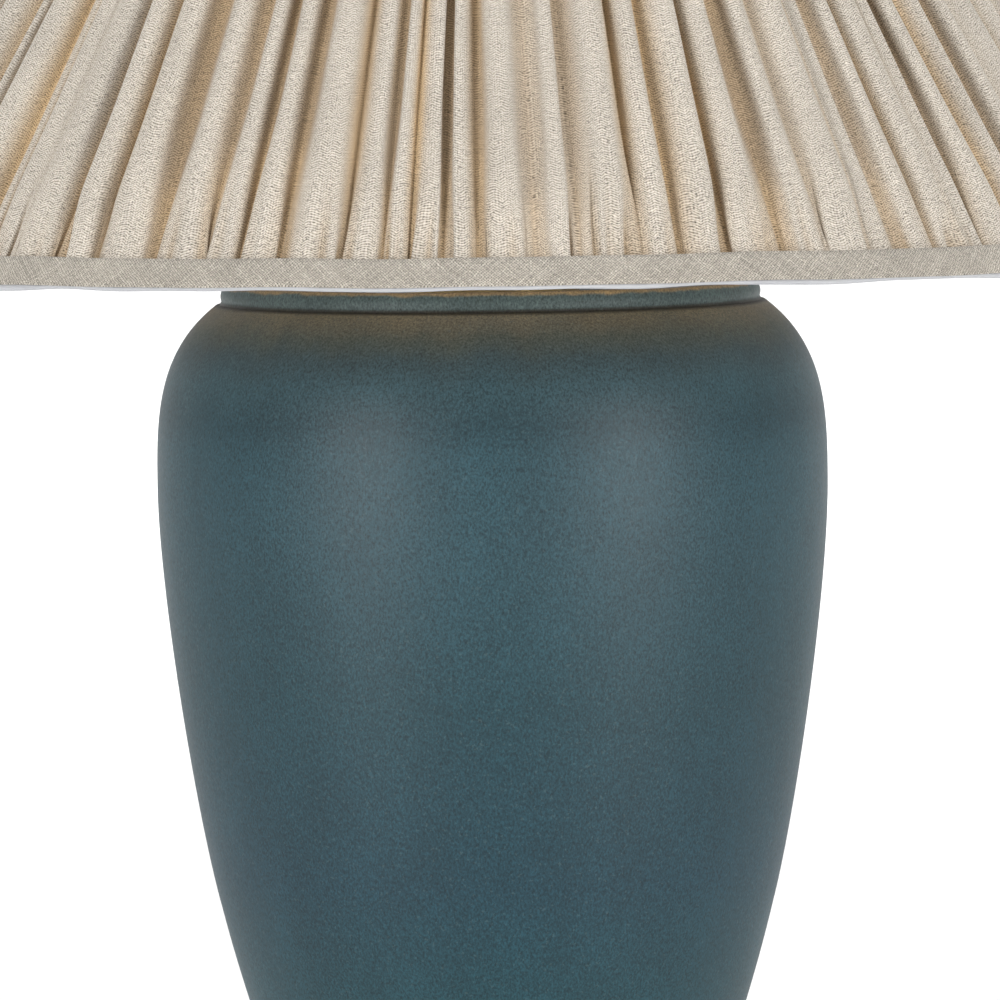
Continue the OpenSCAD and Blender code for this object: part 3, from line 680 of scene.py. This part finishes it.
class Gathers:
    """The rolls of the cover, as arrays of rows by rolls. A roll grows narrower, steeper and deeper
    towards the top, but only up to a limit, so part of its cloth is left out of the shape there."""

    def __init__(self, rng):
        self.rng = rng
        self.set_rows()
        self.set_valleys()
        self.set_valley_shapes()
        self.set_cloth()
        self.set_crests()
        self.set_sides()

    def drift(self, turns=(0.5, 1.1, 2.1)):
        """A slow random change with height for each roll, mostly between -1 and 1."""
        total = np.zeros((ROWS, ROLLS))
        for number in turns:
            phase = self.up[:, None] + self.rng.uniform(0, 2, ROLLS)
            total += np.sin(number * math.pi * phase) / (number + 0.5)
        return total / 1.6

    def set_rows(self):
        """Heights of the rows, closer together near the bottom, and the radius of the valleys."""
        self.bottom, top = tape_low + 3.0 * MM, cover_top - 0.8 * MM
        self.z = self.bottom + (top - self.bottom) * (np.arange(ROWS) / (ROWS - 1)) ** 1.6
        self.up = (self.z - tape_high) / (top_tape_low - tape_high)   # 0 and 1 at the two tapes
        self.freed = 0.15 + 0.85 * smooth(self.z, tape_high, tape_high + 55 * MM)
        # The valleys touch the ring below, and the struts above it
        above_ring = smooth(self.z, ring_z + wire_r, ring_z + 6 * MM)
        self.base = frame_line(self.z) + 2.4 * MM - 0.8 * MM * above_ring

    def set_valleys(self):
        """Angle of the valley to the left of each roll, which wanders on its way up, and the
        distance to the next valley."""
        width = np.clip(self.rng.lognormal(0, 0.36, ROLLS), 0.45, 1.9)
        start = np.concatenate([[0], np.cumsum(width / width.sum())])[:-1] * 2 * math.pi
        mean_pitch = 2 * math.pi / ROLLS
        self.edges = start + self.drift() * self.rng.uniform(0.05, 0.26, ROLLS) * mean_pitch
        following = next_edge(self.edges)
        following[:, -1] += 2 * math.pi
        self.pitch = (following - self.edges) * self.base[:, None]

    def set_valley_shapes(self):
        """How open a valley is, how wide its floor is, and how far it is raised off the frame, as
        a share of the lower crest beside it."""
        rng, up = self.rng, self.up
        openness = rng.beta(0.9, 0.9, ROLLS) + 0.30 * self.drift()
        allowed = self.freed * (1 - 0.55 * smooth(up, 0.35, 1.0))
        self.openness = np.clip(openness * allowed[:, None], 0, 1)
        floor = np.clip(rng.lognormal(math.log(0.5 * MM), 0.8, ROLLS), 0.05 * MM, 1.9 * MM)
        closed_at = rng.uniform(0.3, 1.0, ROLLS)
        self.floor = 0.08 * MM + floor * np.clip(1 - up[:, None] / closed_at, 0, 1)
        raised = np.where(rng.random(ROLLS) < 0.28, rng.uniform(0.30, 0.72, ROLLS),
                          rng.uniform(0, 0.12, ROLLS))
        kept = 1 - 0.8 * smooth(up, 0.3, 1.0)
        self.raised = np.clip(raised * (1 + 0.5 * self.drift()) * kept[:, None], 0, 0.8)

    def set_cloth(self):
        """Length of cloth in each roll, and how steep and deep the roll becomes for it, within
        the limits of both."""
        self.cloth = GATHERING * self.pitch[0] * self.rng.uniform(0.93, 1.09, ROLLS)
        steepness, wide, high = fold_table()
        keep = np.clip(self.pitch / self.cloth, wide.min(), 0.96)
        steep = np.interp(-keep, -wide, steepness)
        self.steep = np.minimum(steep + (0.45 * (1 - self.freed))[:, None], STEEPEST)
        depth = np.minimum(np.interp(-keep, -wide, high) * self.cloth / 2, 9.0 * MM)
        self.depth = np.maximum(depth, 2.0 * MM)

    def set_crests(self):
        """Heights of the crests and valleys. The tapes hold the rolls down, and they swell out of
        them."""
        z = self.z
        out_of_tape = 0.55 + 0.45 * smooth(z, tape_high - 1 * MM, tape_high + 24 * MM)
        out_of_top = 0.42 + 0.58 * (1 - smooth(z, top_tape_low - 16 * MM, top_tape_low))
        crest = self.depth * np.minimum(out_of_tape, out_of_top)[:, None]
        crest = crest * (1 + 0.07 * self.drift((2.0, 4.5, 9.0)))
        room_under_tapes = tape_line(z) + TAPE_PROUD - 1.4 * MM - self.base
        beyond = np.minimum(np.maximum(z - tape_high, 0), np.maximum(top_tape_low - z, 0))
        self.crest = np.minimum(crest, (room_under_tapes + 1.1 * beyond)[:, None])
        self.valley = self.raised * np.minimum(self.crest, np.roll(self.crest, 1, axis=1))

    def set_sides(self):
        """Both sides of each roll, joined at its crest: distance across and height of its points."""
        left = flank(self.steep, self.openness, ripples(self.rng, self.z))
        right = flank(self.steep, next_edge(self.openness), ripples(self.rng, self.z))
        peak = 0.5 + 0.09 * self.rng.normal(0, 1, ROLLS).clip(-1.6, 1.6) + 0.05 * self.drift()
        floor, next_floor = self.floor[:, :, None], next_edge(self.floor)[:, :, None]
        inner = self.pitch - (self.floor + next_edge(self.floor)) / 2
        left_across = left[0] * (peak * inner)[:, :, None] + floor / 2
        from_right = right[0] * ((1 - peak) * inner)[:, :, None]
        right_across = self.pitch[:, :, None] - from_right - next_floor / 2
        low, next_low = self.valley[:, :, None], next_edge(self.valley)[:, :, None]
        crest = self.crest[:, :, None]
        left_height = low + (crest - low) * left[1]
        right_height = next_low + (crest - next_low) * right[1]
        across = np.concatenate([left_across, right_across[:, :, -2::-1]], -1)
        height = np.concatenate([left_height, right_height[:, :, -2::-1]], -1)
        self.height = height * tucks(self.rng, self.z, height.shape[-1])
        tilt = self.rng.uniform(-0.30, 0.30, ROLLS) + 0.15 * self.drift()
        tilt = tilt * (1 - 0.6 * smooth(self.up, 0.4, 1.0))[:, None]
        self.across = across + (self.height - (low + next_low) / 2) * tilt[:, :, None]

    def fold_shade_weights(self):
        """Point values that steer the folds' painted shade: how deep in a fold a point is, and how open
        it is.
        """
        deepest = self.crest[:, :, None] * 0.95 + 0.5 * MM
        fold = smooth(1 - self.height / deepest, 0.03, 1.0)
        opened = np.repeat(self.openness[:, :, None], fold.shape[-1], 2)
        opened[:, :, SIDE:] = next_edge(self.openness)[:, :, None]
        # The darker painted shade of open valleys fades towards the top, and near the bottom tape every
        # valley takes much of it, so the tucks read as notches.
        opened = smooth(opened, 0.05, 0.65) * (1 - 0.7 * smooth(self.up, 0.15, 0.75))[:, None, None]
        near_tape = 1 - smooth(self.z, tape_high, tape_high + 50 * MM)
        opened = np.maximum(opened, 0.75 * near_tape[:, None, None])
        return {"fold": fold.reshape(-1), "opened": opened.reshape(-1)}


def gathered_cover():
    """The linen cover: one strip of cloth, gathered into rolls."""
    gathers = Gathers(np.random.default_rng(SEED + 1))
    base, z = gathers.base[:, None, None], gathers.z[:, None, None]
    columns = gathers.across.shape[-1]
    angle = gathers.edges[:, :, None] + gathers.across / base
    points = round_points(base + gathers.height, angle, z)
    valley_floor = next_edge(gathers.floor).mean(0)
    cloth_from = np.concatenate([[0], np.cumsum(gathers.cloth + valley_floor)])
    u = cloth_from[:-1, None] + gathers.cloth[:, None] * np.linspace(0, 1, columns)
    v = (z - gathers.bottom) * lean
    thing = piece("linen_cover", points, grid_faces(ROWS, ROLLS * columns, wrap_columns=True),
                  uv_pairs(u[None], v), gathers.fold_shade_weights())
    stand_for(thing, "shade_cover", "shade")


gathered_cover()


# ---------- tapes and lining ----------

def tape_section(path, width):
    """Closed outline of a folded tape laid along path, and each point's distance along the path.
    Its two folded edges are a little fuller than its middle."""
    thick, full_reach, nose_out = 1.0 * MM, 2 * MM, 0.35 * MM
    step = np.gradient(path, axis=0)
    step /= np.linalg.norm(step, axis=1)[:, None]
    normal = np.stack([step[:, 1], -step[:, 0]], -1)
    run = run_along(path)
    near_edges = np.exp(-(run / full_reach) ** 2) + np.exp(-((run - width) / full_reach) ** 2)
    front = path + normal * (0.25 * MM * near_edges + TAPE_PROUD - 0.2 * MM)[:, None]
    back = path - normal * (thick - TAPE_PROUD)
    nose = (front[0] + back[0]) / 2 - step[0] * nose_out
    tail = (front[-1] + back[-1]) / 2 + step[-1] * nose_out
    outline = np.concatenate([[nose], front, [tail], back[::-1]])
    distance = np.concatenate([[-0.4 * MM], run, [run[-1] + 0.4 * MM], run[::-1]])
    return outline, distance


def tape(name, node, start, width, turn_in=None):
    """A folded bias tape: a thin band with round edges, laid on the shade's outer line from the
    height start up. turn_in is the path of the part that folds over a ring, as radius and height
    pairs."""
    rng = np.random.default_rng(SEED + len(name))
    around = 900
    angles = round_angles(around)
    rise = width / lean
    z = start + rise * np.linspace(0, 1, 7)
    path = np.stack([tape_line(z), z], -1)
    if turn_in is not None:
        path = np.concatenate([path, turn_in])
    outline, distance = tape_section(path, width)
    press = 0.16 * MM * waves(angles, rng, 60, 170, 9) + 0.10 * MM * waves(angles, rng, 5, 20, 4)
    wave = 0.22 * MM * waves(angles, rng, 6, 34, 7)
    points = round_points(outline[:, 0:1] + press[None, :], angles[None, :],
                          outline[:, 1:2] + wave[None, :])
    middle = tape_line(start + rise / 2)
    faces = grid_faces(len(outline), around, wrap_columns=True, wrap_rows=True)
    thing = piece(name, points, faces, uv_pairs(angles[None, :] * middle, distance[:, None]))
    stand_for(thing, node, "shade")


def lining():
    """The white lining: a smooth cone whose hem rolls out under the bottom ring."""
    rng = np.random.default_rng(SEED + 7)
    around = 720
    angles = round_angles(around)
    z = np.linspace(lining_high, ring_z, 26)
    inset, hem_r, low = 2.7 * MM, tape_r - 0.15 * MM, lining_low + 0.35 * MM
    cone = np.stack([frame_line(z) - inset, z], -1)
    outline = np.concatenate([
        cone,
        arc((cone[-1, 0] + 1.6 * MM, low + 1.6 * MM), 1.6 * MM, 190, 265, 5),
        [[ring_r, low], [ring_r + 3 * MM, low]],
        arc((hem_r - 0.9 * MM, low + 0.9 * MM), 0.9 * MM, -85, 0, 5),
        [[hem_r, tape_low - 0.3 * MM], [hem_r - 1.1 * MM, tape_low + 1.2 * MM]],
    ])
    r, h = outline[:, 0:1], outline[:, 1:2]
    hem = smooth(-h, -(ring_z + 1 * MM), -(lining_low + 1 * MM))
    pucker = 0.16 * MM * waves(angles, rng, 40, 120, 7)[None, :] * smooth(h, ring_z, lining_high)
    sag = 0.28 * MM * waves(angles, rng, 8, 46, 8)[None, :] * hem
    points = round_points(r + pucker, angles[None, :], h + sag)
    run = run_along(outline)
    thing = piece("white_lining", points, grid_faces(len(outline), around, True)[:, ::-1],
                  uv_pairs(angles[None, :] * ring_r, run[:, None]))
    stand_for(thing, "shade_lining", "shade")


def top_fold():
    """Path of the top tape where it folds over the top ring and down inside."""
    shoulder = tape_line(top_tape_high - 1.6 * MM)
    return np.array([
        [shoulder - 0.2 * MM, top_tape_high - 1.0 * MM],
        [shoulder - 1.4 * MM, top_tape_high - 0.1 * MM],
        [top_ring_r + 3 * MM, top_tape_high],
        [top_ring_r - 1.6 * MM, top_tape_high - 0.1 * MM],
        [top_ring_r - 2.9 * MM, top_tape_high - 0.8 * MM],
        [top_ring_r - 3.2 * MM, top_tape_high - 2.0 * MM],
    ])


tape_width = (tape_high - tape_low) * lean
tape("bottom_tape", "bottom_binding", tape_low, tape_width)
tape("top_tape", "top_binding", top_tape_low, tape_width * 0.94, top_fold())
lining()


# ---------- stage, camera and light ----------

def disc(name, r, z, material):
    """A flat round floor."""
    around = 96
    rim = round_points(r, round_angles(around), z)
    points = np.concatenate([[[0, 0, z]], rim])
    faces = np.array([[0, i + 1, (i + 1) % around + 1] for i in range(around)])
    floor = piece(name, points, faces)
    floor.data.materials.append(material)


disc("floor", 6.5, 0.0, stage_floor())


def camera(distance, eye_height, aim, width_seen, roll):
    """A camera in front that sees width_seen across at the lamp's axis."""
    data = bpy.data.cameras.new("camera")
    thing = bpy.data.objects.new("camera", data)
    bpy.context.scene.collection.objects.link(thing)
    place = Vector((0, -distance, eye_height))
    gaze = Vector(aim) - place
    turn = gaze.to_track_quat("-Z", "Y").to_matrix().to_4x4() @ Matrix.Rotation(roll, 4, "Z")
    thing.matrix_world = Matrix.Translation(place) @ turn
    data.sensor_width = 36.0
    data.lens = data.sensor_width * gaze.length / width_seen
    data.clip_end = 60
    bpy.context.scene.camera = thing


camera(distance=2.6, eye_height=0.446, aim=(0.0023, 0, 0.270), width_seen=0.348,
       roll=math.radians(-0.68))


def softbox(name, place, aim, width, height, power):
    """A white rectangular light at place, turned to face aim. power is in watts."""
    data = bpy.data.lights.new(name, "AREA")
    data.shape = "RECTANGLE"
    data.size, data.size_y = width, height
    data.energy = power
    thing = bpy.data.objects.new(name, data)
    bpy.context.scene.collection.objects.link(thing)
    gaze = Vector(aim) - Vector(place)
    turn = gaze.to_track_quat("-Z", "Y").to_matrix().to_4x4()
    thing.matrix_world = Matrix.Translation(place) @ turn


def surroundings(front, back):
    """A sky that is dim in front of the lamp and bright behind it."""
    world = bpy.data.worlds.new("surroundings")
    world.use_nodes = True
    tree = world.node_tree
    place = tree.nodes.new("ShaderNodeTexCoord")
    parts = tree.nodes.new("ShaderNodeSeparateXYZ")
    level = tree.nodes.new("ShaderNodeMapRange")
    tree.links.new(place.outputs["Generated"], parts.inputs[0])
    tree.links.new(parts.outputs[1], level.inputs[0])
    dim_up_to, bright_from = 0.35, 0.98    # y of the direction, -1 is in front
    for socket, value in enumerate((dim_up_to, bright_from, front, back), 1):
        level.inputs[socket].default_value = value
    tree.links.new(level.outputs[0], tree.nodes["Background"].inputs[1])
    tree.nodes["Background"].inputs[0].default_value = (1, 1, 1, 1)
    bpy.context.scene.world = world
    bpy.context.scene.view_settings.view_transform = "Standard"


def studio():
    """Two tall softboxes at the front corners, a broad one overhead, and one over the floor behind."""
    aim = (0, 0, 0.30)
    away, centre_height = 1.9, 0.62
    for name, turn in (("front_left", -42), ("front_right", 45)):
        turn = math.radians(turn)
        place = (away * math.sin(turn), -away * math.cos(turn), centre_height)
        softbox(name, place, aim, 0.50, 1.3, 27)
    softbox("overhead", (0, -0.2, 2.6), aim, 2.2, 2.2, 20)
    softbox("over_backdrop", (0, 4.2, 3.2), (0, 5.2, 0), 6.0, 3.0, 230)


surroundings(front=0.36, back=1.20)
studio()
